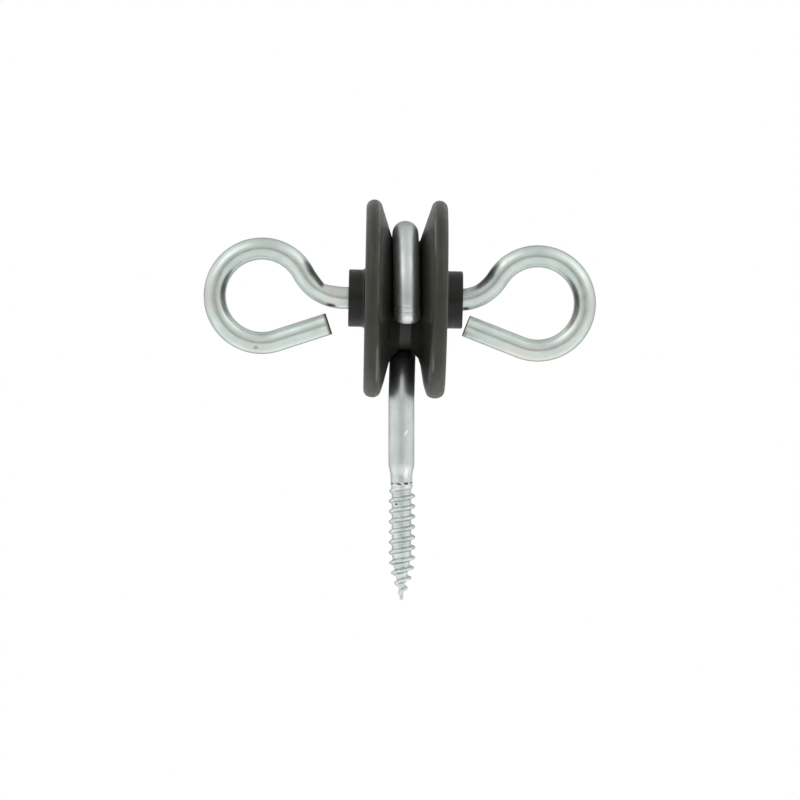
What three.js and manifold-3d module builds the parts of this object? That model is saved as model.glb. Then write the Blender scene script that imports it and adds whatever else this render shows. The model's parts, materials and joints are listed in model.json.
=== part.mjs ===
// Gate insulator for an electric fence: a black spool held in the eye of a wood screw, with a steel
// hook on each side. The hooks are live. They meet in a threaded steel sleeve inside the spool, and
// the plastic keeps them apart from the wood screw.
//
// Units are millimetres and +Z is up. The origin is on the screw's axis where its thread starts.
// +X runs along the spool's axis from the left hook to the right hook, and -Y is the front.
import * as THREE from "three";
import { mergeVertices } from "three/addons/utils/BufferGeometryUtils.js";
import Module from "manifold-3d";

const wasm = await Module();
wasm.setup();

// Wood screw, bent from one steel rod
const ROD_RADIUS = 3.25;
const THREAD_PITCH = 2.58;
const THREAD_LENGTH = 30.8;
const THREAD_ROOT = 2.4;
const THREAD_CREST = 3.35;
const THREAD_BASE = 1.7; // width of the ridge at the root
const TAPER_LENGTH = 13; // the pointed end of the thread
const BLANK_RADIUS = 2.85; // the neck that the thread is rolled from
const NECK_TOP = 1.2;
const SHANK_BOTTOM = 4; // the rod has its full diameter from here up
const RIDGE_PHASE = THREE.MathUtils.degToRad(-8); // where round the screw the ridge starts

// The screw's eye, which wraps the spool's groove
const SPOOL_HEIGHT = 44.5; // spool centre above the start of the thread
const EYE_RADIUS = 16.3; // centre line of the rod
const EYE_NECK_RADIUS = 11.6;
const EYE_END_ANGLE = THREE.MathUtils.degToRad(20); // how far past level the rod ends in front
const NECK_DRIFT = 0.3; // sideways run of the rod in its neck
const EYE_DRIFT = 1.15; // and round the eye, like one turn of a coil

// Spool
const SPOOL_OFFSET = 1.02; // spool centre to the right of the screw's axis
const SPOOL_TILT = THREE.MathUtils.degToRad(1.05); // the spool lies along the eye's slant
const SPOOL_YAW = THREE.MathUtils.degToRad(0.6);
const FLANGE_RADIUS = 24.7;
const FLANGE_FACE = 10.15; // half the spool's width over the flanges
const RIM_ROUND = 2;
const BOSS_RADIUS = 7.12;
const BOSS_FACE = 14.25; // half the spool's width over the bosses
const BOSS_CHAMFER = 0.4;
const BOSS_FILLET = 0.8;
const CORE_RADIUS = 12.7;
const GROOVE_HALF_ANGLE = THREE.MathUtils.degToRad(19);
const GROOVE_HALF_WIDTH = 3.97; // at the rod's centre line
const FLOOR_HALF_WIDTH = 1.4; // of the groove's flat floor, between two bevels at 45 degrees
const BORE_RADIUS = 3.2;

// Threaded sleeve moulded into the spool
const SLEEVE_ACROSS_FLATS = 10;
const SLEEVE_LENGTH = 18;
const SLEEVE_BORE = 2.75;
const SLEEVE_CHAMFER = 0.7;
const SLEEVE_CLEARANCE = 0.3;

// Hooks, bent from one size of wire
const WIRE_RADIUS = 2.75;
const HOOK_EYE_RADIUS = 11.8; // centre line
const HOOK_NECK_RADIUS = 11.6;
const HOOK_LENGTH = 32.6; // inner end of the shank to the centre of the eye
const HOOK_THREAD_LENGTH = 10;
const HOOK_THREAD_RADIUS = 2.6; // mean radius of the M6 thread
const LEFT_HOOK = { reach: 35.9, lift: 0, rise: 19, leg: 13.8 };
const RIGHT_HOOK = { reach: 33.1, lift: -0.5, rise: 20.5, leg: 14.7 };

// Facets
const WIRE_SIDES = 14;
const WIRE_STEP = 1.5; // length of one step along a wire
const RIDGE_STEPS_PER_TURN = 14;
const SCREW_SIDES = 14;
const SPOOL_SIDES = 56;
const ARC_STEPS = 6; // for each arc of the spool's outline
const BORE_SIDES = 20;

// The closed solid of a geometry, for joins and cuts.
function toSolid(geometry) {
  const bare = geometry.clone();
  bare.deleteAttribute("normal");
  bare.deleteAttribute("uv");
  const merged = mergeVertices(bare, 1e-4);
  return new wasm.Manifold(
    new wasm.Mesh({
      numProp: 3,
      vertProperties: new Float32Array(merged.attributes.position.array),
      triVerts: new Uint32Array(merged.index.array),
    }),
  );
}

// The geometry of a solid, with flat shading.
function toGeometry(solid) {
  const mesh = solid.getMesh();
  const indexed = new THREE.BufferGeometry();
  indexed.setAttribute("position", new THREE.BufferAttribute(mesh.vertProperties, mesh.numProp));
  indexed.setIndex(new THREE.BufferAttribute(mesh.triVerts, 1));
  const geometry = indexed.toNonIndexed();
  geometry.computeVertexNormals();
  return geometry;
}

// A cylinder along X between two stations.
function bar(radius, from, to, sides, phase = 0) {
  const geometry = new THREE.CylinderGeometry(radius, radius, to - from, sides, 1, false, phase);
  geometry.rotateZ(-Math.PI / 2);
  return geometry.translate((from + to) / 2, 0, 0);
}

// A circular bend in the XY plane. It can drift along Z as it goes, like a turn of a coil.
class Bend extends THREE.Curve {
  constructor(centre, radius, from, to, drift = 0) {
    super();
    Object.assign(this, { centre, radius, from, to, drift });
  }

  getPoint(t, target = new THREE.Vector3()) {
    const angle = this.from + (this.to - this.from) * t;
    return target.set(
      this.centre.x + this.radius * Math.cos(angle),
      this.centre.y + this.radius * Math.sin(angle),
      this.centre.z + this.drift * t,
    );
  }
}

// The centre line of a wire that ends in an eye. The shank runs along +X, the neck bends towards +Y,
// and the wire goes over the eye and back beneath it. The eye is centred on the shank's own line, or
// `lift` above it. `past` is how far the wire turns after it has come parallel to the shank again,
// and `leg` is its straight end.
function eyePath(shape) {
  const { start, reach, lift = 0, eyeRadius, neckRadius, past, leg = 0 } = shape;
  const { neckDrift = 0, drift = 0 } = shape;
  const neckAngle = Math.acos((neckRadius - lift) / (neckRadius + eyeRadius));
  const neckStart = reach - (neckRadius + eyeRadius) * Math.sin(neckAngle);
  const eyeStart = Math.PI / 2 + neckAngle;
  const eyeEnd = -Math.PI / 2 - past;
  const neck = new Bend(
    new THREE.Vector3(neckStart, neckRadius, 0),
    neckRadius,
    -Math.PI / 2,
    neckAngle - Math.PI / 2,
    neckDrift,
  );
  const eyeCentre = new THREE.Vector3(reach, lift, neckDrift);
  const eye = new Bend(eyeCentre, eyeRadius, eyeStart, eyeEnd, drift);
  const path = new THREE.CurvePath();
  path.add(new THREE.LineCurve3(new THREE.Vector3(start, 0, 0), new THREE.Vector3(neckStart, 0, 0)));
  path.add(neck);
  path.add(eye);
  if (leg > 0) {
    const from = eye.getPoint(1);
    const heading = new THREE.Vector3(-Math.cos(past), Math.sin(past), 0);
    path.add(new THREE.LineCurve3(from, from.clone().addScaledVector(heading, leg)));
  }
  return path;
}

// A round wire along a path.
function wire(path, radius) {
  const section = new THREE.Shape();
  section.absarc(0, 0, radius, 0, 2 * Math.PI);
  return new THREE.ExtrudeGeometry(section, {
    extrudePath: path,
    steps: Math.round(path.getLength() / WIRE_STEP),
    curveSegments: WIRE_SIDES / 2,
  });
}

// How much of its full radius the thread has at a depth below its start: all of it, and then less
// along a round-nosed point.
function pointShare(depth) {
  const into = Math.max(0, depth - (THREAD_LENGTH - TAPER_LENGTH)) / TAPER_LENGTH;
  return Math.sqrt(Math.max(0, 1 - into ** 1.6));
}

// The screw's solid core under the rod: the point, the thread's root, the neck and the shoulder.
function screwCore() {
  const profile = [];
  const pointRows = 8;
  for (let i = 0; i <= pointRows; i++) {
    const depth = THREAD_LENGTH - (TAPER_LENGTH * i) / pointRows;
    profile.push(new THREE.Vector2(THREAD_ROOT * pointShare(depth), -depth));
  }
  profile[0].x = 0;
  const spigotRadius = ROD_RADIUS / 2;
  const spigotTop = SHANK_BOTTOM + ROD_RADIUS;
  profile.push(
    new THREE.Vector2(THREAD_ROOT, -THREAD_PITCH / 2),
    new THREE.Vector2(BLANK_RADIUS, 0),
    new THREE.Vector2(BLANK_RADIUS, NECK_TOP),
    new THREE.Vector2(ROD_RADIUS - 0.1, SHANK_BOTTOM - 1),
    new THREE.Vector2(ROD_RADIUS - 0.02, SHANK_BOTTOM + 0.01),
    new THREE.Vector2(spigotRadius, SHANK_BOTTOM + 0.01),
    new THREE.Vector2(spigotRadius, spigotTop),
    new THREE.Vector2(0, spigotTop),
  );
  return new THREE.LatheGeometry(profile, SCREW_SIDES).rotateX(Math.PI / 2);
}

// The thread's ridge: a four-sided bar bent round the core as a right-hand helix. Its outer edge is
// the crest, its inner edge is buried in the core, and it fades in over the first half turn.
function threadRidge() {
  const length = THREAD_LENGTH - THREAD_PITCH / 4;
  const turns = length / THREAD_PITCH;
  const steps = Math.round(turns * RIDGE_STEPS_PER_TURN);
  const geometry = new THREE.CylinderGeometry(1, 1, 1, 4, steps);
  const position = geometry.attributes.position;
  for (let i = 0; i < position.count; i++) {
    const along = position.getY(i) + 0.5;
    const depth = along * length;
    const share = pointShare(depth + THREAD_PITCH / 4);
    const fade = Math.min(1, 0.15 + along * turns * 1.7) * share;
    const root = THREAD_ROOT * share;
    const height = (THREAD_CREST - THREAD_ROOT) * fade;
    const outward = position.getX(i);
    const radius = outward > 0 ? root + height * outward : root * (1 + 0.45 * outward);
    const angle = RIDGE_PHASE - 2 * Math.PI * turns * along;
    const halfBase = (THREAD_BASE / 2) * (0.35 + 0.65 * fade);
    position.setXYZ(
      i,
      radius * Math.cos(angle),
      radius * Math.sin(angle),
      -depth - position.getZ(i) * halfBase,
    );
  }
  return geometry;
}

function woodScrew() {
  const path = eyePath({
    start: SHANK_BOTTOM,
    reach: SPOOL_HEIGHT,
    eyeRadius: EYE_RADIUS,
    neckRadius: EYE_NECK_RADIUS,
    past: EYE_END_ANGLE,
    neckDrift: -NECK_DRIFT,
    drift: -EYE_DRIFT,
  });
  const rod = toSolid(wire(path, ROD_RADIUS).rotateY(-Math.PI / 2));
  return toGeometry(rod.add(toSolid(screwCore())).add(toSolid(threadRidge())));
}

// Half the spool's outline as seen along the groove: x is the distance from the mid plane and y the
// radius. It starts on the axis and ends in the middle of the groove.
function spoolOutline() {
  const outline = new THREE.Path();
  outline.moveTo(BOSS_FACE, 0);
  outline.lineTo(BOSS_FACE, BOSS_RADIUS - BOSS_CHAMFER);
  outline.lineTo(BOSS_FACE - BOSS_CHAMFER, BOSS_RADIUS);
  outline.lineTo(FLANGE_FACE + BOSS_FILLET, BOSS_RADIUS);
  outline.lineTo(FLANGE_FACE, BOSS_RADIUS + BOSS_FILLET);
  const rimCentre = FLANGE_FACE - RIM_ROUND;
  outline.lineTo(FLANGE_FACE, FLANGE_RADIUS - RIM_ROUND);
  const wallAngle = Math.PI - GROOVE_HALF_ANGLE;
  outline.absarc(rimCentre, FLANGE_RADIUS - RIM_ROUND, RIM_ROUND, 0, wallAngle + 0.001);
  const slope = Math.tan(GROOVE_HALF_ANGLE);
  const wallAtFloor = GROOVE_HALF_WIDTH + (CORE_RADIUS - EYE_RADIUS) * slope;
  const bevel = (wallAtFloor - FLOOR_HALF_WIDTH) / (1 - slope);
  outline.lineTo(FLOOR_HALF_WIDTH + bevel, CORE_RADIUS + bevel);
  outline.lineTo(FLOOR_HALF_WIDTH, CORE_RADIUS);
  outline.lineTo(0, CORE_RADIUS);
  return outline.getPoints(ARC_STEPS / 2);
}

function spool() {
  const half = spoolOutline();
  const mirrored = half.slice(0, -1).map((p) => new THREE.Vector2(-p.x, p.y));
  // A lathe turns round Y, so the outline's x becomes the height.
  const profile = [...mirrored, ...half.reverse()].map((p) => new THREE.Vector2(p.y, p.x));
  let solid = toSolid(new THREE.LatheGeometry(profile, SPOOL_SIDES).rotateZ(-Math.PI / 2));
  solid = solid.subtract(toSolid(bar(BORE_RADIUS, -BOSS_FACE - 1, BOSS_FACE + 1, BORE_SIDES)));
  const seatFlats = SLEEVE_ACROSS_FLATS + 2 * SLEEVE_CLEARANCE;
  const seatEnd = SLEEVE_LENGTH / 2 + SLEEVE_CLEARANCE;
  solid = solid.subtract(toSolid(bar(seatFlats / Math.sqrt(3), -seatEnd, seatEnd, 6)));
  return toGeometry(solid);
}

function sleeve() {
  const end = SLEEVE_LENGTH / 2;
  const cornerRadius = SLEEVE_ACROSS_FLATS / Math.sqrt(3);
  const faceRadius = SLEEVE_ACROSS_FLATS / 2;
  const chamfered = new THREE.LatheGeometry(
    [
      new THREE.Vector2(0, -end),
      new THREE.Vector2(faceRadius - 0.2, -end),
      new THREE.Vector2(cornerRadius + 0.1, SLEEVE_CHAMFER - end),
      new THREE.Vector2(cornerRadius + 0.1, end - SLEEVE_CHAMFER),
      new THREE.Vector2(faceRadius - 0.2, end),
      new THREE.Vector2(0, end),
    ],
    BORE_SIDES,
  ).rotateZ(-Math.PI / 2);
  const hexagon = toSolid(bar(cornerRadius, -end, end, 6));
  const bore = toSolid(bar(SLEEVE_BORE, -end - 1, end + 1, BORE_SIDES));
  return toGeometry(hexagon.intersect(toSolid(chamfered)).subtract(bore));
}

// A hook along +X: its threaded inner end, then the wire round its eye to the open end.
function hook({ reach, lift, rise, leg }) {
  const innerEnd = reach - HOOK_LENGTH;
  const threadEnd = innerEnd + HOOK_THREAD_LENGTH;
  const path = eyePath({
    start: threadEnd,
    reach,
    lift,
    eyeRadius: HOOK_EYE_RADIUS,
    neckRadius: HOOK_NECK_RADIUS,
    past: THREE.MathUtils.degToRad(rise),
    leg,
  });
  const overlap = 1;
  const thread = bar(HOOK_THREAD_RADIUS, innerEnd, threadEnd + overlap, WIRE_SIDES, Math.PI / 2);
  return toGeometry(toSolid(wire(path, WIRE_RADIUS)).add(toSolid(thread)));
}

// Materials
const zincPlate = (color) =>
  new THREE.MeshStandardMaterial({ color, roughness: 0.28, metalness: 1 });
const plastic = new THREE.MeshStandardMaterial({ color: 0x2b2c28, roughness: 0.42, metalness: 0 });

function part(name, geometry, material) {
  const mesh = new THREE.Mesh(geometry, material);
  mesh.name = name;
  return mesh;
}

// Assembly: the spool, its sleeve and both hooks sit in one group, tilted in the screw's eye.
const insulator = new THREE.Group();
insulator.add(part("wood_screw_eye", woodScrew(), zincPlate(0xc4ccca)));

const spoolGroup = new THREE.Group();
spoolGroup.position.set(SPOOL_OFFSET, 0, SPOOL_HEIGHT);
spoolGroup.rotation.set(0, SPOOL_TILT, SPOOL_YAW);
spoolGroup.add(part("insulator_spool", spool(), plastic));
spoolGroup.add(part("threaded_sleeve", sleeve(), zincPlate(0xb9bdb8)));

const rightHook = part("right_hook", hook(RIGHT_HOOK), zincPlate(0xcdd5d2));
rightHook.rotation.set(Math.PI / 2, 0, 0);
spoolGroup.add(rightHook);

const leftHook = part("left_hook", hook(LEFT_HOOK), zincPlate(0xcdd5d2));
leftHook.rotation.set(Math.PI / 2, Math.PI, 0);
spoolGroup.add(leftHook);

insulator.add(spoolGroup);

export default insulator;
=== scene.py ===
"""Gate insulator for an electric fence: a black spool in a wood screw's eye, with a hook on each side.

Shapes are worked out in millimetres and become metres when their mesh is made. X runs along the spool
from the left hook to the right hook, Z is up the screw, and -Y is the front.
"""
import json
import math

import bmesh
import bpy
import numpy as np
from mathutils import Matrix, Vector


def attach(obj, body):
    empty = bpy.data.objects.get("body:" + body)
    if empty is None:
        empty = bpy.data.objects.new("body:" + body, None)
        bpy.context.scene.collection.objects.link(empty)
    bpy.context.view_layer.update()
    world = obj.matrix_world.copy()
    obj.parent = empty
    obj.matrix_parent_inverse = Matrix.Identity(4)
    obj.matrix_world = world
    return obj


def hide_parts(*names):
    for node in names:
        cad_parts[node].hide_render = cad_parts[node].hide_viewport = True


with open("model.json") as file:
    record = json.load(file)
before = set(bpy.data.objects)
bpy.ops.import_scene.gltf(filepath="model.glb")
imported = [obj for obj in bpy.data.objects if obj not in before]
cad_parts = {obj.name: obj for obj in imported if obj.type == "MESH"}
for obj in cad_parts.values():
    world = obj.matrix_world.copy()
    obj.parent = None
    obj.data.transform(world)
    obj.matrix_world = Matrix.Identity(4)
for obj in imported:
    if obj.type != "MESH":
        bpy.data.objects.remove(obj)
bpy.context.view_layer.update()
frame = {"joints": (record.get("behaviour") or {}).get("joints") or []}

MM = 0.001
SPIN = next(joint for joint in frame["joints"] if joint["name"] == "spool_spin")
SPOOL_CENTRE = Vector(SPIN["pos_m"]) / MM
SPOOL_AXIS = Vector(SPIN["axis"])
SPOOL_YAW = math.asin(SPOOL_AXIS.y)
SPOOL_TILT = math.atan2(-SPOOL_AXIS.z, SPOOL_AXIS.x)

# Wood screw
ROD_RADIUS = 3.25
THREAD_PITCH = 2.57
THREAD_LENGTH = 30.8
ROOT_RADIUS = 2.42
CREST_RADIUS = 3.3
CREST_OFF_CENTRE = 0.15  # how far the crests lean to the right, as rolled
CREST_HALF_WIDTH = 0.14
RIDGE_HALF_WIDTH = 0.8
FIRST_CREST = 3.45  # depth of the first crest on the left of the screw
POINT_LENGTH = 11.8
TIP_RADIUS = 0.44
NECK_RADIUS = 2.72
NECK_END = -2.0  # height of the step from the neck to the thread
SHOULDER_END = 0.2
SHOULDER_TOP = 3.5
NICK_HEIGHT = -1.6  # a broken line of nicks, where the thread rolls started
NICK_DEPTH = 0.4
NICK_WIDTH = 0.2
FIRST_TURN = (1.3, 4.2)  # depths between which the thread's ridge rises to its full height
CORE_STEP = (1.6, 3.4)  # depths between which the core narrows to its size under the thread
CORE_LEDGE = 0.12  # how much narrower the core is than the neck at their step
EYE_RADIUS = 16.3
EYE_NECK_RADIUS = 11.6
EYE_PAST = math.radians(20)
NECK_DRIFT = 0.3
EYE_DRIFT = 1.15
END_CHAMFER = 0.6
FACET_LENGTH = 1.9  # a flat on the front of the rod's end, left by the cutter
FACET_DEPTH = 0.75
# Marks on the screw. The first is painted shade, a darker reflection on the front of its eye; the next
# three are painted highlights, on a real scratch across the shank, on the shoulder and on the cutter's
# flat at the rod's end;
# the rest are nicks. Each has a centre, half sizes, slant and grey tone.
SCREW_NICKS_AND_PAINTED_LIGHT = (
    ((1.2, -18.5, 49.0), (6.0, 8.0, 16.0), 0.0, 0.68),
    ((1.15, -3.0, 11.1), (1.15, 1.5, 0.33), math.radians(-58), 1.0),
    ((1.15, -2.8, 0.9), (1.7, 1.5, 0.6), math.radians(-84), 1.0),
    ((1.6, -18.7, 39.3), (1.5, 2.0, 0.8), 0.0, 0.9),
    ((-0.6, -2.6, -1.75), (0.8, 1.0, 0.32), math.radians(20), 0.2),
    ((1.2, -2.4, -1.6), (0.8, 1.0, 0.36), 0.0, 0.13),
    ((-2.3, -1.4, -1.6), (0.6, 1.0, 0.25), 0.0, 0.2),
    ((2.4, -1.3, -1.4), (0.6, 1.0, 0.25), 0.0, 0.2),
    ((-1.3, -2.2, -6.75), (0.4, 1.0, 0.3), 0.0, 0.06),
)
END_RINGS = (2.6, 3.7)  # shallow grooves round the rod, by their distance from its end
END_RING_DEPTH = 0.07
END_RING_WIDTH = 0.16
END_ZONE = 4.5  # length of rod by its end that is meshed finely

# Hooks
WIRE_RADIUS = 2.75
HOOK_EYE_RADIUS = 11.8
HOOK_NECK_RADIUS = 11.6
HOOK_LENGTH = 32.6
HOOK_THREAD_LENGTH = 10.0
HOOK_THREAD_CREST = 2.66
HOOK_THREAD_ROOT = 2.36
HOOK_THREAD_PITCH = 1.0
HOOK_TIP = 0.3
HOOK_EDGE = 0.22  # rounding of the cut end
PINCH_REACH = 5.1  # how far from the middle of the neck it is thinned
LEFT_SPECK = ((-36.3, -2.9, 32.3), (0.75, 1.0, 0.6), 0.0, 0.42)  # a grey speck on the left hook's eye
LEFT_BARE_ROWS = 8  # rings at each hook's cut end with no zinc
RIGHT_BARE_ROWS = 5
# reach, lift of the eye's centre, rise in degrees, leg, and how far the neck is thinned
LEFT_HOOK = (35.9, 0.15, 19.0, 13.8, 0.7)
RIGHT_HOOK = (33.1, -0.5, 20.5, 14.7, 0.15)

# Spool
FLANGE_RADIUS = 24.7
FLANGE_FACE = 10.15
RIM_ROUND = 2.0
BOSS_RADIUS = 7.12
BOSS_FACE = 14.25
BOSS_FILLET = 0.8
BOSS_EDGE = 0.35
FACE_SINK = 0.12  # how far each flange's outer face dips between its rim and its boss
CORE_RADIUS = 12.7
GROOVE_HALF_ANGLE = math.radians(19)
GROOVE_HALF_WIDTH = 3.97
FLOOR_HALF_WIDTH = 1.4  # of the groove's flat floor, between two bevels at 45 degrees
LEAN_LEFT = 0.4  # how far the bottom of each flange swells into the groove
LEAN_RIGHT = 0.75
RIM_HIGHLIGHT_LINE = 6.9  # where painted highlights run round the rims' inner edges, from the spool's middle plane
BORE_RADIUS = 3.2
PARTING_HEIGHT = 0.05  # of the raised line where the mould's halves met
PARTING_WIDTH = 0.11

# Threaded sleeve
SLEEVE_ACROSS_FLATS = 10.0
SLEEVE_HALF_LENGTH = 9.0
SLEEVE_BORE = 2.75
SLEEVE_THREAD_DEPTH = 0.2
SEAT_GAP = 0.3

# Colours
BARE_STEEL = (0.07, 0.07, 0.065, 1.0)
YELLOW_ZINC = (0.74, 0.73, 0.67, 1.0)
ZINC_PIT = (0.4, 0.42, 0.42, 1.0)
ZINC_EDGE = (0.45, 0.46, 0.46, 1.0)  # zinc seen nearly edge-on
# Hub and rim are one plastic: the hub colour is painted shade on the bosses and groove, the rim colour
# painted sheen.
PLASTIC_HUB_PAINTED_SHADE = (0.006, 0.006, 0.0045, 1.0)
PLASTIC_RIM_PAINTED_SHEEN = (0.034, 0.034, 0.025, 1.0)
# A painted highlight colour for the rims' inner edges.
PLASTIC_RIM_HIGHLIGHT = (0.13, 0.13, 0.118, 1.0)
PLASTIC_SPECK = (0.16, 0.16, 0.15, 1.0)

# Camera: weak perspective, level, straight on
CAMERA_DISTANCE = 1100.0
CAMERA_FIELD = 200.0
CAMERA_AIM = Vector((-0.35, 0.0, 19.25))

# Studio: how bright it is by direction, and the soft dark opening behind the camera
STUDIO_GLOW = 0.66
FRONT_GLOW = 0.06
SIDE_GLOW = 0.14
DIAGONAL_GLOW = 0.62
OPENING_DARK = 0.62
OPENING_HALF_WIDTH = 0.5
OPENING_HALF_HEIGHT = 0.14
OPENING_HEIGHT = -0.03
LIGHT_SIZE = 600.0

# The floor is a round sheet, mostly in front of the insulator. Its rim stops short of the camera's view.
FLOOR_CENTRE = Vector((0.0, -350.0, -90.0))
FLOOR_RADIUS = 440.0
# The grey middle of the floor is a painted shadow under the insulator.
FLOOR_SHADOW_RADIUS = 300.0
FLOOR_SHADE = 0.7
FLOOR_GLOW = 0.42


def blend_step(value, low, high):
    """0 below low, 1 above high, and a smooth rise between them."""
    share = np.clip((value - low) / (high - low), 0.0, 1.0)
    return share * share * (3.0 - 2.0 * share)


# ---------------------------------------------------------------------------------------------------
# Meshes


def build_mesh(name, rows, close_rows, uv_scale, material, bare_rows=0):
    """An object from a grid of points, closed round each row. A row is a ring. The last ring joins the
    first when close_rows is true, and otherwise a flat face closes each end. The last bare_rows rings
    are marked as bare steel."""
    count, columns = rows.shape[:2]
    mesh = bpy.data.meshes.new(name)
    made = bmesh.new()
    points = [[made.verts.new(p * MM) for p in row] for row in rows]
    uv_layer = made.loops.layers.uv.new("wrap")
    lengths = np.linalg.norm(np.diff(rows.mean(axis=1), axis=0), axis=1)
    along = np.concatenate([[0.0], np.cumsum(lengths)]) * uv_scale
    last = count if close_rows else count - 1
    for i in range(last):
        below, above = points[i], points[(i + 1) % count]
        for j in range(columns):
            k = (j + 1) % columns
            face = made.faces.new((below[j], below[k], above[k], above[j]))
            ends = (along[i], along[i], along[min(i + 1, count - 1)], along[min(i + 1, count - 1)])
            turns = (j, j + 1, j + 1, j)
            for loop, end, turn in zip(face.loops, ends, turns):
                loop[uv_layer].uv = (end, turn / columns)
    if not close_rows:
        made.faces.new(list(reversed(points[0])))
        made.faces.new(points[-1])
    bmesh.ops.recalc_face_normals(made, faces=made.faces)
    made.to_mesh(mesh)
    made.free()
    mesh.shade_smooth()
    mesh.set_sharp_from_angle(angle=math.radians(40))
    mesh.materials.append(material)
    bare = np.zeros(count * columns, dtype=np.float32)
    bare[(count - bare_rows) * columns :] = 1.0
    mesh.attributes.new("bare_steel", "FLOAT", "POINT").data.foreach_set("value", bare)
    piece = bpy.data.objects.new(name, mesh)
    bpy.context.scene.collection.objects.link(piece)
    return piece


def turtle(start, segments, steps):
    """Points and headings of a flat line made of straights and bends, given as (length, turn)."""
    point, heading, travelled = np.array(start, float), 0.0, 0.0
    stations = []
    for (length, turn), step in zip(segments, steps):
        count = max(2, round(length / step))
        for i in range(count):
            share = i / count
            station = along_segment(point, heading, length * share, turn * share)
            stations.append((*station, travelled + length * share))
        end = along_segment(point, heading, length, turn)
        point, heading, travelled = np.array(end[:2]), end[2], travelled + length
    stations.append((*point, heading, travelled))
    return np.array(stations)


def along_segment(point, heading, length, turn):
    """Where a straight or a bend of that length and turn ends, and its heading there."""
    if abs(turn) < 1e-9:
        return point[0] + length * math.cos(heading), point[1] + length * math.sin(heading), heading
    radius = length / turn
    after = heading + turn
    across = radius * (math.sin(after) - math.sin(heading))
    up = radius * (math.cos(heading) - math.cos(after))
    return point[0] + across, point[1] + up, after


def eye_segments(start, reach, lift, eye_radius, neck_radius, past, leg):
    """The shank, neck, eye and open end of a wire whose eye is centred lift above its own shank."""
    neck = math.acos((neck_radius - lift) / (neck_radius + eye_radius))
    shank = reach - (neck_radius + eye_radius) * math.sin(neck) - start
    round_eye = neck + math.pi + past
    return [(shank, 0.0), (neck_radius * neck, neck), (eye_radius * round_eye, -round_eye), (leg, 0.0)]


def circle(columns):
    return np.arange(columns) * 2 * math.pi / columns


# ---------------------------------------------------------------------------------------------------
# Materials


class Nodes:
    """A material's node tree, with short names for the nodes used here."""

    def __init__(self, name):
        self.material = bpy.data.materials.new(name)
        self.material.use_nodes = True
        self.tree = self.material.node_tree
        self.shader = self.tree.nodes["Principled BSDF"]
        self.coordinates = self.tree.nodes.new("ShaderNodeTexCoord")

    def new(self, kind, settings=None, **inputs):
        node = self.tree.nodes.new(kind)
        for key, value in (settings or {}).items():
            setattr(node, key, value)
        for key, value in inputs.items():
            self.put(node.inputs[key.replace("_", " ")], value)
        return node

    def put(self, socket, value):
        if isinstance(value, bpy.types.NodeSocket):
            self.tree.links.new(value, socket)
        else:
            socket.default_value = value

    def place(self, source, scale):
        """Texture coordinates from source, stretched by scale along each axis."""
        mapping = self.new("ShaderNodeMapping", Vector=self.coordinates.outputs[source], Scale=scale)
        return mapping.outputs["Vector"]

    def noise(self, where, scale, detail=3.0, roughness=0.55):
        look = {"Scale": scale, "Detail": detail, "Roughness": roughness}
        return self.new("ShaderNodeTexNoise", Vector=where, **look).outputs["Fac"]

    def mark(self, centre_mm, half_mm, turn):
        """1 in the middle of one oval mark, 0 outside it. turn is its slant as seen from the front."""
        settings = {"vector_type": "TEXTURE"}
        mapping = self.new("ShaderNodeMapping", settings, Vector=self.coordinates.outputs["Object"])
        mapping.inputs["Location"].default_value = Vector(centre_mm) * MM
        mapping.inputs["Rotation"].default_value = (0.0, turn, 0.0)
        mapping.inputs["Scale"].default_value = Vector(half_mm) * MM
        settings = {"gradient_type": "SPHERICAL"}
        oval = self.new("ShaderNodeTexGradient", settings, Vector=mapping.outputs["Vector"])
        return self.span(oval.outputs["Fac"], 0.0, 0.4, 0.0, 1.0)

    def spots(self, where, scale, size):
        """1 inside small round spots scattered by cell noise, 0 elsewhere."""
        cells = self.new("ShaderNodeTexVoronoi", Vector=where, Scale=scale, Randomness=1.0)
        return self.span(cells.outputs["Distance"], size, size * 0.5, 0.0, 1.0)

    def span(self, value, low, high, to_low, to_high):
        """value carried smoothly from the range low to high to the range to_low to to_high."""
        ends = {"From Min": low, "From Max": high, "To Min": to_low, "To Max": to_high}
        settings = {"interpolation_type": "SMOOTHSTEP"}
        return self.new("ShaderNodeMapRange", settings, Value=value, **ends).outputs["Result"]

    def mix(self, share, first, second):
        node = self.new("ShaderNodeMix", {"data_type": "RGBA"})
        self.put(node.inputs[0], share)
        self.put(node.inputs[6], first)
        self.put(node.inputs[7], second)
        return node.outputs[2]

    def maths(self, operation, first, second):
        node = self.new("ShaderNodeMath", {"operation": operation})
        self.put(node.inputs[0], first)
        self.put(node.inputs[1], second)
        return node.outputs[0]

    def vector(self, operation, vector, other=(0.0, 0.0, 0.0)):
        node = self.new("ShaderNodeVectorMath", {"operation": operation}, Vector=vector)
        self.put(node.inputs[1], other)
        return node.outputs["Value" if operation in ("LENGTH", "DOT_PRODUCT") else "Vector"]

    def bump(self, height, distance, under=None):
        node = self.new("ShaderNodeBump", Height=height, Distance=distance * MM)
        if under is not None:
            self.put(node.inputs["Normal"], under)
        return node.outputs["Normal"]


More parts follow.
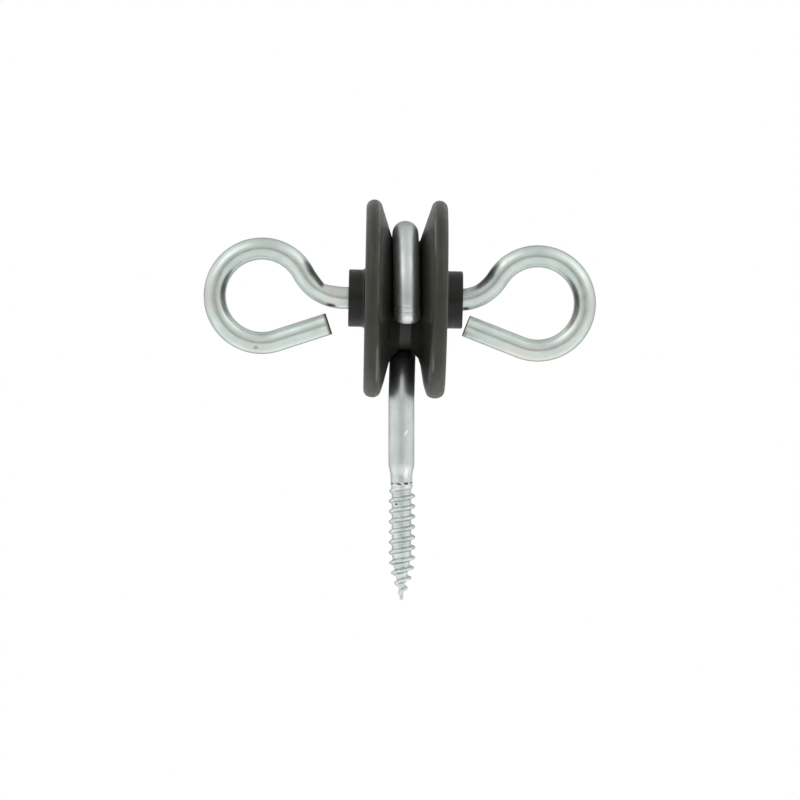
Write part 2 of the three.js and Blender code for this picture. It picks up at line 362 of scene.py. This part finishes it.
def zinc_material(name, light, dark, gloss, marks_and_painted_light=()):
    """Bright zinc plate on drawn steel wire: cloudy, with fine lines along the wire, a little pale
    yellow, and dull bare steel where the wire was cut. Each mark is a centre, half sizes, slant and
    grey tone; marks are real specks and nicks, or painted highlights and painted shade."""
    nodes = Nodes(name)
    solid = nodes.place("Object", (1000.0, 1000.0, 1000.0))
    wrapped = nodes.place("UV", (1.0, 60.0, 1.0))
    stretched = nodes.place("UV", (0.35, 9.0, 1.0))
    clouds = nodes.noise(solid, 0.22)
    lines = nodes.noise(wrapped, 1.0, detail=4.0, roughness=0.7)
    streaks = nodes.noise(stretched, 1.0, detail=2.0)
    mottle = nodes.maths("ADD", clouds, nodes.maths("MULTIPLY", lines, 0.35))
    mottle = nodes.maths("ADD", mottle, nodes.maths("MULTIPLY", streaks, 0.6))
    tone = nodes.span(mottle, 0.75, 1.2, 0.0, 1.0)
    plate = nodes.mix(tone, (*dark, 1.0), (*light, 1.0))
    yellow = nodes.span(nodes.noise(solid, 0.09, detail=1.0), 0.5, 0.75, 0.0, 0.7)
    plate = nodes.mix(yellow, plate, YELLOW_ZINC)
    pits = nodes.spots(solid, 0.4, 0.045)
    plate = nodes.mix(pits, plate, ZINC_PIT)
    # Some marks are real specks and nicks, others painted highlights and painted shade.
    for centre, half, turn, grey in marks_and_painted_light:
        plate = nodes.mix(nodes.mark(centre, half, turn), plate, (grey * 0.94, grey, grey * 0.99, 1.0))
    bare = nodes.new("ShaderNodeAttribute", {"attribute_name": "bare_steel"}).outputs["Fac"]
    nodes.put(nodes.shader.inputs["Base Color"], nodes.mix(bare, plate, BARE_STEEL))
    nodes.put(nodes.shader.inputs["Metallic"], 1.0)
    nodes.put(nodes.shader.inputs["Specular Tint"], ZINC_EDGE)
    rough = nodes.span(nodes.noise(solid, 0.5), 0.3, 0.7, gloss, gloss + 0.07)
    rough = nodes.maths("ADD", rough, nodes.maths("MULTIPLY", bare, 0.3))
    nodes.put(nodes.shader.inputs["Roughness"], rough)
    grain = nodes.bump(streaks, 0.05)
    dents = nodes.bump(nodes.noise(solid, 0.35, detail=2.0), 0.05, under=grain)
    pitted = nodes.bump(nodes.maths("SUBTRACT", 1.0, pits), 0.01, under=dents)
    nodes.put(nodes.shader.inputs["Normal"], pitted)
    return nodes.material


def plastic_material():
    """Black moulded plastic with a satin skin, faint flow marks and a few pale scuffs. Painted sheen
    makes the flanges paler than the bosses and groove, painted shade darkens the groove's walls, and
    painted highlights lie in patches on the rims."""
    nodes = Nodes("black_plastic")
    solid = nodes.place("Object", (1000.0, 1000.0, 1000.0))
    flow = nodes.noise(solid, 0.12, detail=4.0)
    from_centre = nodes.vector("SUBTRACT", solid, SPOOL_CENTRE)
    # The spool's axis is so nearly X that the radius can leave X out.
    radius = nodes.vector("LENGTH", nodes.vector("MULTIPLY", from_centre, (1e-4, 1.0, 1.0)))
    along = nodes.maths("ABSOLUTE", nodes.vector("DOT_PRODUCT", from_centre, SPOOL_AXIS), 0.0)

    # Painted light by radius: painted shade at the bosses and groove, painted sheen towards the rims.
    painted_sheen_share = nodes.span(radius, BOSS_RADIUS, FLANGE_RADIUS, 0.0, 1.0)
    base = nodes.mix(painted_sheen_share, PLASTIC_HUB_PAINTED_SHADE, PLASTIC_RIM_PAINTED_SHEEN)
    # Painted shade on the groove's walls; the cloudy tone from the flow noise is the plastic's own.
    off_floor = nodes.span(along, 2.5, 5.0, 0.0, 1.0)
    groove_wall_painted_shade = nodes.maths("MULTIPLY", off_floor, nodes.span(along, 6.5, 5.5, 0.0, 1.0))
    cloudy = nodes.span(flow, 0.35, 0.65, 0.85, 1.15)
    shade = nodes.maths("MULTIPLY", nodes.span(groove_wall_painted_shade, 0.0, 1.0, 1.0, 0.65), cloudy)
    base = nodes.vector("MULTIPLY", base, shade)

    # Painted highlights in patches along each rim's inner rounding.
    off_highlight_line = nodes.maths("ABSOLUTE", nodes.maths("SUBTRACT", along, RIM_HIGHLIGHT_LINE), 0.0)
    at_rim = nodes.span(radius, 22.0, 23.0, 0.0, 1.0)
    edge = nodes.maths("MULTIPLY", nodes.span(off_highlight_line, 0.45, 0.0, 0.0, 1.0), at_rim)
    highlight_patches = nodes.span(nodes.noise(solid, 0.07, detail=2.0), 0.42, 0.6, 0.0, 1.0)
    base = nodes.mix(nodes.maths("MULTIPLY", edge, highlight_patches), base, PLASTIC_RIM_HIGHLIGHT)
    specks = nodes.spots(solid, 0.33, 0.045)
    nodes.put(nodes.shader.inputs["Base Color"], nodes.mix(specks, base, PLASTIC_SPECK))

    satin = nodes.span(nodes.noise(solid, 0.8), 0.3, 0.7, 0.3, 0.44)
    nodes.put(nodes.shader.inputs["Roughness"], satin)
    nodes.put(nodes.shader.inputs["Specular IOR Level"], 0.36)
    skin = nodes.bump(nodes.noise(solid, 9.0, detail=2.0), 0.01)
    nodes.put(nodes.shader.inputs["Normal"], nodes.bump(flow, 0.06, under=skin))
    return nodes.material


def floor_material():
    """Painted shadow: pale grey below the insulator, which also darkens its lower reflections, and white
    at the rim.
    """
    nodes = Nodes("floor")
    radius = nodes.vector("LENGTH", nodes.coordinates.outputs["Object"])
    # Painted shadow, grey in the middle and white at the rim; the floor's glow carries it too.
    shade = nodes.span(radius, FLOOR_SHADOW_RADIUS * MM, FLOOR_RADIUS * MM, FLOOR_SHADE, 1.0)
    grey = nodes.new("ShaderNodeCombineColor", Red=shade, Green=shade, Blue=shade).outputs["Color"]
    nodes.put(nodes.shader.inputs["Base Color"], grey)
    nodes.put(nodes.shader.inputs["Roughness"], 0.9)
    nodes.put(nodes.shader.inputs["Emission Color"], grey)
    nodes.put(nodes.shader.inputs["Emission Strength"], FLOOR_GLOW)
    return nodes.material


# ---------------------------------------------------------------------------------------------------
# Wood screw


def thread_ridge(height, angles, pitch, first_crest, crest_half, base_half):
    """How far up its flank a right-hand thread is at each angle: 0 at the root and 1 on the crest."""
    turns = (height + first_crest) / pitch - (angles - math.pi) / (2 * math.pi)
    offset = np.abs(turns - np.round(turns)) * pitch
    return 1.0 - blend_step(offset, crest_half, base_half)


def screw_radius(height, angles):
    """The screw's radius at each angle round it, from its point up to the plain rod."""
    shoulder = blend_step(height, SHOULDER_END, SHOULDER_TOP)
    blank = NECK_RADIUS + (ROD_RADIUS - NECK_RADIUS) * shoulder
    if height > NECK_END + 0.6:
        return np.full_like(angles, blank)
    into_point = np.clip((-height - (THREAD_LENGTH - POINT_LENGTH)) / POINT_LENGTH, 0.0, 1.0)
    above_tip = np.clip((height + THREAD_LENGTH) / TIP_RADIUS, 0.0, 1.0)
    blunt_tip = TIP_RADIUS * math.sqrt(above_tip * (2.0 - above_tip))
    root = max(ROOT_RADIUS * (1.0 - into_point**1.15), blunt_tip)
    crest = (CREST_RADIUS + CREST_OFF_CENTRE * np.cos(angles)) * (1.0 - into_point**2.0)
    fade = blend_step(-height, *FIRST_TURN)
    ridge = thread_ridge(height, angles, THREAD_PITCH, FIRST_CREST, CREST_HALF_WIDTH, RIDGE_HALF_WIDTH)
    step = blend_step(-height, -NECK_END - 0.15, -NECK_END + 0.15)
    swell = (NECK_RADIUS - CORE_LEDGE - ROOT_RADIUS) * (1.0 - blend_step(-height, *CORE_STEP))
    core = blank + (root + swell - blank) * step
    nicks = NICK_DEPTH * np.clip(0.3 + np.sin(5.0 * angles) + np.sin(11.0 * angles), 0.0, 1.0)
    core = core - nicks * math.exp(-(((height - NICK_HEIGHT) / NICK_WIDTH) ** 2))
    return core + np.maximum(crest - core, 0.0) * ridge * fade


def rod_end_radius(left, radius, edge):
    """The radius of a cut rod at a distance from its end, with a rounded edge."""
    if left >= edge:
        return radius
    return radius - edge + math.sqrt(max(0.0, edge**2 - (edge - left) ** 2))


def rod_end(left, angles):
    """The eye's open end at a distance from its cut: two rings, the cutter's flat and a chamfer."""
    rings = sum(math.exp(-(((left - ring) / END_RING_WIDTH) ** 2)) for ring in END_RINGS)
    radius = np.full_like(angles, ROD_RADIUS - END_RING_DEPTH * rings)
    if left < FACET_LENGTH:
        flat = ROD_RADIUS - FACET_DEPTH * (1.0 - left / FACET_LENGTH)
        outward = np.maximum(-np.sin(angles), 0.05)
        radius = np.minimum(radius, flat / outward)
    return np.minimum(radius, ROD_RADIUS - max(0.0, END_CHAMFER - left))


def wood_screw(material):
    start = -THREAD_LENGTH
    segments = eye_segments(start, SPOOL_CENTRE.z, 0.0, EYE_RADIUS, EYE_NECK_RADIUS, EYE_PAST, 0.0)
    shank = segments.pop(0)[0]
    threaded = THREAD_LENGTH + SHOULDER_TOP
    segments = [(threaded, 0.0), (shank - threaded, 0.0), *segments[:2]]
    length, turn = segments[-1]
    short = END_ZONE / length
    segments[-1] = (length * (1 - short), turn * (1 - short))
    segments.append((END_ZONE, turn * short))
    stations = turtle((start, 0.0), segments, (0.11, 0.8, 0.5, 0.5, 0.1))
    total = stations[-1, 3]
    eye_start = shank + EYE_NECK_RADIUS * math.acos(EYE_NECK_RADIUS / (EYE_NECK_RADIUS + EYE_RADIUS))
    angles = circle(72)
    rows = []
    for up, back, heading, travelled in stations:
        neck_share = np.clip((travelled - shank) / (eye_start - shank), 0.0, 1.0)
        eye_share = np.clip((travelled - eye_start) / (total - eye_start), 0.0, 1.0)
        drift = NECK_DRIFT * neck_share + EYE_DRIFT * eye_share
        radius = screw_radius(up, angles) if travelled < shank else rod_end(total - travelled, angles)
        # Angle 0 is to the right and a quarter turn on is the back, seen from above the shank.
        side, inward = np.cos(angles) * radius, np.sin(angles) * radius
        x = drift + side
        y = back + inward * math.cos(heading)
        z = up - inward * math.sin(heading)
        rows.append(np.stack([x, y, z], axis=1))
    rows = np.array(rows)
    rows[0] = rows[0].mean(axis=0) + (rows[1] - rows[1].mean(axis=0)) * 0.3
    return build_mesh("screw_with_eye", rows, False, 0.1, material)


# ---------------------------------------------------------------------------------------------------
# Spool and sleeve, turned round the spool's axis


def spool_frame():
    """From the spool's own axes to the row frame, in millimetres."""
    turn = Matrix.Rotation(SPOOL_TILT, 4, "Y") @ Matrix.Rotation(SPOOL_YAW, 4, "Z")
    return np.array(Matrix.Translation(SPOOL_CENTRE) @ turn)


def to_row_frame(rows):
    matrix = spool_frame()
    return rows @ matrix[:3, :3].T + matrix[:3, 3]


def arc(centre, radius, start, end, count):
    angles = [start + (end - start) * i / count for i in range(count + 1)]
    return [(centre[0] + radius * math.cos(a), centre[1] + radius * math.sin(a)) for a in angles]


def hexagon(angles, across_flats):
    """The radius of a hexagon at each angle."""
    sector = math.pi / 3
    return across_flats / 2 / np.cos((angles + sector / 2) % sector - sector / 2)


def revolve(name, profile, angles, material):
    """A ring-shaped piece from a closed outline of (along the axis, radius), for all angles or each."""
    rows = []
    for along, radius in profile:
        side, reach = np.broadcast_arrays(along, radius, angles)[:2]
        rows.append(np.stack([side, -np.sin(angles) * reach, np.cos(angles) * reach], axis=1))
    return build_mesh(name, to_row_frame(np.array(rows)), True, 0.1, material)


def half_outline():
    """The right half of the spool's outer outline, from the middle of the groove to the bore."""
    slope = math.tan(GROOVE_HALF_ANGLE)
    wall_at_floor = GROOVE_HALF_WIDTH + (CORE_RADIUS - EYE_RADIUS) * slope
    bevel = (wall_at_floor - FLOOR_HALF_WIDTH) / (1.0 - slope)
    rim = (FLANGE_FACE - RIM_ROUND, FLANGE_RADIUS - RIM_ROUND)
    wall_start = (FLOOR_HALF_WIDTH + bevel, CORE_RADIUS + bevel)
    points = [(0.0, CORE_RADIUS), (FLOOR_HALF_WIDTH - 0.15, CORE_RADIUS)]
    points += [(FLOOR_HALF_WIDTH, CORE_RADIUS + 0.04)]
    points += [(FLOOR_HALF_WIDTH + bevel / 2, CORE_RADIUS + bevel / 2), wall_start]
    wall_end = arc(rim, RIM_ROUND, math.pi - GROOVE_HALF_ANGLE, 0.0, 28)
    steps = 10
    for i in range(1, steps):
        share = i / steps
        points.append(tuple(a + (b - a) * share for a, b in zip(wall_start, wall_end[0])))
    points += wall_end
    face_steps = 12
    for i in range(1, face_steps):
        radius = rim[1] + (BOSS_RADIUS + BOSS_FILLET - rim[1]) * i / face_steps
        sink = FACE_SINK * math.sin(math.pi * i / face_steps) ** 2
        points.append((FLANGE_FACE - sink, radius))
    corner = (FLANGE_FACE + BOSS_FILLET, BOSS_RADIUS + BOSS_FILLET)
    points += arc(corner, BOSS_FILLET, math.pi, 1.5 * math.pi, 6)
    edge = BOSS_EDGE
    points += arc((BOSS_FACE - edge, BOSS_RADIUS - edge), edge, math.pi / 2, 0.0, 5)
    points += arc((BOSS_FACE - edge, BORE_RADIUS + edge), edge, 0.0, -math.pi / 2, 4)
    return points


def swell_flange(along, radius, angles, lean):
    """The outline's point, moved into the groove low on the flange but outside the rod's path."""
    low = blend_step(-np.cos(angles), 0.2, 1.0)
    inner = blend_step(FLANGE_FACE - along, 0.0, 3.5)
    outer = np.clip((radius - EYE_RADIUS - 0.3) / 4.6, 0.0, 1.0)
    return along - lean * low * inner * outer


def spool(material):
    sides = (0.0, math.pi)
    parting = [side + math.radians(d) for side in sides for d in (-0.5, -0.25, -0.12, 0.12, 0.25, 0.5)]
    angles = np.unique(np.concatenate([circle(192), np.array(parting) % (2 * math.pi)]))
    seat_end = SLEEVE_HALF_LENGTH + SEAT_GAP
    seat = hexagon(angles, SLEEVE_ACROSS_FLATS + 2 * SEAT_GAP)
    right, left = [], []
    for along, radius in half_outline():
        from_line = np.abs(np.sin(angles)) * radius
        line = PARTING_HEIGHT * np.exp(-((from_line / PARTING_WIDTH) ** 2))
        lined = radius + (line if radius > BORE_RADIUS + 0.5 else 0.0)
        right.append((swell_flange(along, radius, angles, LEAN_RIGHT), lined))
        left.append((-swell_flange(along, radius, angles, LEAN_LEFT), lined))
    right += [(seat_end, BORE_RADIUS), (seat_end, seat)]
    left += [(-seat_end, BORE_RADIUS), (-seat_end, seat)]
    return revolve("spool_body", right + left[:0:-1], angles, material)


def threaded_sleeve(material):
    angles = circle(96)
    outside = hexagon(angles, SLEEVE_ACROSS_FLATS)
    end = SLEEVE_HALF_LENGTH
    chamfer = 0.7
    half_outer = []
    for i in range(5):
        limit = SLEEVE_ACROSS_FLATS / 2 - 0.25 + chamfer * 1.6 * i / 4
        half_outer.append((end - chamfer * i / 4, np.minimum(outside, limit)))
    outer = half_outer + [(-along, radius) for along, radius in reversed(half_outer)]
    rows = round((2 * end) / 0.14)
    inner = []
    for i in range(rows + 1):
        along = -end + 2 * end * i / rows
        ridge = thread_ridge(along, angles, HOOK_THREAD_PITCH, 0.0, 0.1, 0.45)
        inner.append((along, SLEEVE_BORE + SLEEVE_THREAD_DEPTH * (1.0 - ridge)))
    return revolve("joining_sleeve", outer + inner, angles, material)


# ---------------------------------------------------------------------------------------------------
# Hooks


def hook(name, side, shape, bare_rows, material):
    """A hook on the spool's left (side -1) or right (side 1)."""
    reach, lift, rise, leg, pinch = shape
    start = reach - HOOK_LENGTH
    past = math.radians(rise)
    segments = eye_segments(start, reach, lift, HOOK_EYE_RADIUS, HOOK_NECK_RADIUS, past, leg)
    shank = segments[0][0]
    segments = [
        (HOOK_TIP, 0.0),
        (HOOK_THREAD_LENGTH - HOOK_TIP, 0.0),
        (shank - HOOK_THREAD_LENGTH, 0.0),
        segments[1],
        segments[2],
        (leg - HOOK_EDGE, 0.0),
        (HOOK_EDGE, 0.0),
    ]
    stations = turtle((start, 0.0), segments, (0.1, 0.12, 0.5, 0.4, 0.5, 0.8, 0.03))
    total = stations[-1, 3]
    neck_middle = shank + segments[3][0] / 2
    angles = circle(56)
    rows = []
    for along, up, heading, travelled in stations:
        radius = np.full_like(angles, WIRE_RADIUS)
        if travelled < HOOK_THREAD_LENGTH + 0.6:
            ridge = thread_ridge(along, angles, HOOK_THREAD_PITCH, 0.0, 0.08, 0.45)
            thread = HOOK_THREAD_ROOT + (HOOK_THREAD_CREST - HOOK_THREAD_ROOT) * ridge
            thread = np.minimum(thread, HOOK_THREAD_ROOT - 0.3 + travelled)
            runout = blend_step(travelled, HOOK_THREAD_LENGTH, HOOK_THREAD_LENGTH + 0.5)
            radius = thread + (WIRE_RADIUS - thread) * runout
        radius = np.minimum(radius, rod_end_radius(total - travelled, WIRE_RADIUS, HOOK_EDGE))
        # The bend's tool presses the wire thinner on the inside of the neck.
        near = max(0.0, 1.0 - abs(travelled - neck_middle) / PINCH_REACH) ** 2
        inside = np.clip(np.sin(angles), 0.0, 1.0)
        in_plane = np.sin(angles) * radius - pinch * near * inside
        across = np.cos(angles) * radius * (1.0 + 0.07 * pinch * near)
        x = (along - in_plane * math.sin(heading)) * side
        z = up + in_plane * math.cos(heading)
        rows.append(np.stack([x, across, z], axis=1))
    return build_mesh(name, to_row_frame(np.array(rows)), False, 0.1, material, bare_rows=bare_rows)


# ---------------------------------------------------------------------------------------------------
# Studio


def place(piece, body, node):
    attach(piece, body)
    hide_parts(node)


def studio_world():
    """A white studio all round: brighter to the sides and on the diagonals, with a dark opening behind
    the camera. The camera itself sees plain white."""
    world = bpy.data.worlds.new("studio")
    bpy.context.scene.world = world
    world.use_nodes = True
    tree = world.node_tree
    background = tree.nodes["Background"]

    def maths(operation, first, second=0.0):
        node = tree.nodes.new("ShaderNodeMath")
        node.operation = operation
        for socket, value in zip(node.inputs, (first, second)):
            if isinstance(value, bpy.types.NodeSocket):
                tree.links.new(value, socket)
            else:
                socket.default_value = value
        return node.outputs[0]

    coordinates = tree.nodes.new("ShaderNodeTexCoord")
    parts = tree.nodes.new("ShaderNodeSeparateXYZ")
    tree.links.new(coordinates.outputs["Generated"], parts.inputs[0])
    x, y, z = parts.outputs
    diagonal = maths("MULTIPLY", maths("ABSOLUTE", maths("MULTIPLY", x, z)), DIAGONAL_GLOW)
    sides = maths("MULTIPLY", maths("MULTIPLY", x, x), SIDE_GLOW)
    front = maths("MULTIPLY", y, -FRONT_GLOW)
    glow = maths("ADD", maths("ADD", STUDIO_GLOW, front), maths("ADD", diagonal, sides))
    across = maths("POWER", maths("MULTIPLY", x, 1 / OPENING_HALF_WIDTH), 2.0)
    above = maths("SUBTRACT", z, OPENING_HEIGHT)
    upward = maths("POWER", maths("MULTIPLY", above, 1 / OPENING_HALF_HEIGHT), 2.0)
    opening = maths("POWER", math.e, maths("MULTIPLY", maths("ADD", across, upward), -1.0))
    in_front = maths("LESS_THAN", y, 0.0)
    dark = maths("MULTIPLY", maths("MULTIPLY", opening, in_front), OPENING_DARK)
    glow = maths("SUBTRACT", glow, dark)
    seen = tree.nodes.new("ShaderNodeLightPath").outputs["Is Camera Ray"]
    shown = tree.nodes.new("ShaderNodeMix")
    tree.links.new(seen, shown.inputs[0])
    tree.links.new(glow, shown.inputs[2])
    shown.inputs[3].default_value = 1.0
    tree.links.new(shown.outputs[0], background.inputs["Strength"])
    background.inputs["Color"].default_value = (1.0, 1.0, 1.0, 1.0)


def area_light(name, place_mm, power):
    light = bpy.data.lights.new(name, "AREA")
    light.size = LIGHT_SIZE * MM
    light.energy = power
    lamp = bpy.data.objects.new(name, light)
    lamp.location = Vector(place_mm) * MM
    lamp.rotation_mode = "QUATERNION"
    lamp.rotation_quaternion = (CAMERA_AIM * MM - lamp.location).to_track_quat("-Z", "Y")
    bpy.context.scene.collection.objects.link(lamp)


def studio_floor():
    mesh = bpy.data.meshes.new("floor")
    rim = [Vector((math.cos(a), math.sin(a), 0.0)) * FLOOR_RADIUS * MM for a in circle(128)]
    mesh.from_pydata(rim, [], [range(len(rim))])
    mesh.materials.append(floor_material())
    floor = bpy.data.objects.new("floor", mesh)
    floor.location = FLOOR_CENTRE * MM
    bpy.context.scene.collection.objects.link(floor)


def camera():
    data = bpy.data.cameras.new("camera")
    data.sensor_width = 36.0
    data.lens = data.sensor_width * CAMERA_DISTANCE / CAMERA_FIELD
    data.clip_start = 0.05
    shot = bpy.data.objects.new("camera", data)
    shot.location = (CAMERA_AIM - Vector((0.0, CAMERA_DISTANCE, 0.0))) * MM
    shot.rotation_euler = (math.pi / 2, 0.0, 0.0)
    bpy.context.scene.collection.objects.link(shot)
    bpy.context.scene.camera = shot


def main():
    bpy.context.scene.view_settings.view_transform = "Standard"
    camera()
    studio_world()
    studio_floor()
    area_light("key", (-500.0, -500.0, 650.0), 0.7)
    area_light("fill", (600.0, -350.0, 500.0), 0.5)

    plate = zinc_material("zinc_plate", (0.69, 0.76, 0.72), (0.59, 0.66, 0.625), 0.28, [LEFT_SPECK])
    dull = zinc_material("zinc_plate_dull", (0.77, 0.82, 0.81), (0.63, 0.685, 0.675), 0.34, SCREW_NICKS_AND_PAINTED_LIGHT)
    steel = zinc_material("sleeve_steel", (0.68, 0.7, 0.68), (0.55, 0.57, 0.55), 0.32)
    place(wood_screw(dull), "screw", "wood_screw_eye")
    place(spool(plastic_material()), "spool", "insulator_spool")
    place(threaded_sleeve(steel), "spool", "threaded_sleeve")
    left = hook("left_wire_hook", -1, LEFT_HOOK, LEFT_BARE_ROWS, plate)
    right = hook("right_wire_hook", 1, RIGHT_HOOK, RIGHT_BARE_ROWS, plate)
    place(left, "left_hook", "left_hook")
    place(right, "right_hook", "right_hook")


main()
